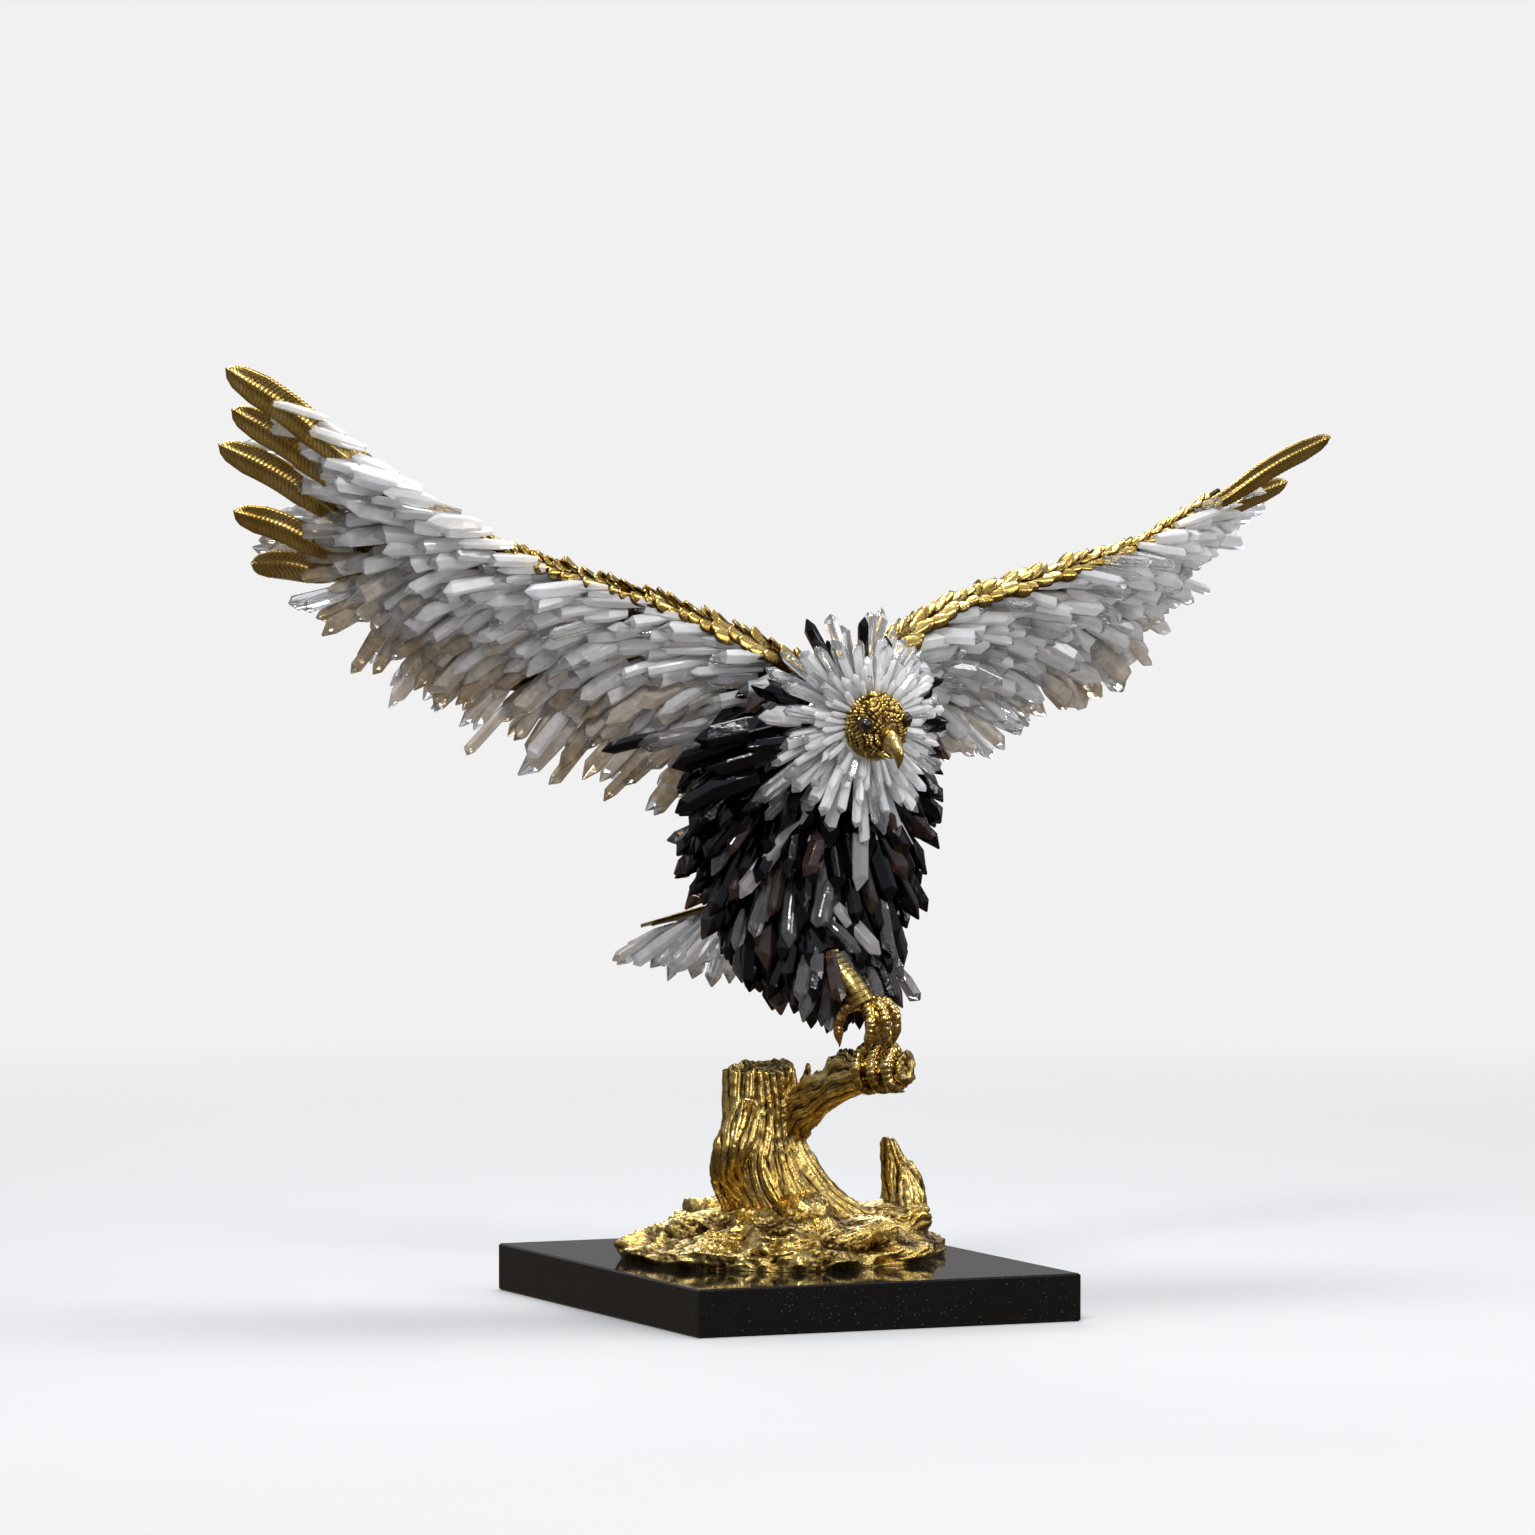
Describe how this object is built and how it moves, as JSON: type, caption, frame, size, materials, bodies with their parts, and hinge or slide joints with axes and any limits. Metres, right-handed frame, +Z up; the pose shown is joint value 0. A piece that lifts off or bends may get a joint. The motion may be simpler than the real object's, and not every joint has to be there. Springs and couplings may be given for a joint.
{
  "type": "quartz and gilt metal eagle sculpture",
  "caption": "Eagle with raised wings, feathered in clear and smoky quartz points, with gilt head, feet and wing castings, perched on a gilt tree stump on a black granite slab.",
  "frame": {"origin": "middle of the slab's underside, on the surface that the sculpture stands on", "axes": "+Z up, -Y the way the slab's front and the eagle's breast face, +X towards the eagle's left wing"},
  "size_m": [1.012, 0.4732, 0.7917],
  "materials": {
    "gilt_brass": "polished gilt over a finely chased casting",
    "clear_quartz": "natural faces of milky to clear quartz points",
    "smoky_quartz": "natural faces of smoky quartz points, nearly black",
    "black_granite": "polished black granite with fine pale specks",
    "black_bead": "polished black stone bead"
  },
  "bodies": {
    "root": {"plinth": "black_granite", "stump": "gilt_brass", "left_leg": "gilt_brass", "right_leg": "gilt_brass", "head": "gilt_brass", "left_eye": "black_bead", "right_eye": "black_bead", "neck_quartz": "clear_quartz", "body_quartz": "smoky_quartz", "right_wing_casting": "gilt_brass", "right_wing_quartz": "clear_quartz", "left_wing_casting": "gilt_brass", "left_wing_quartz": "clear_quartz", "tail_casting": "gilt_brass", "tail_quartz": "clear_quartz"}
  },
  "joints": []
}
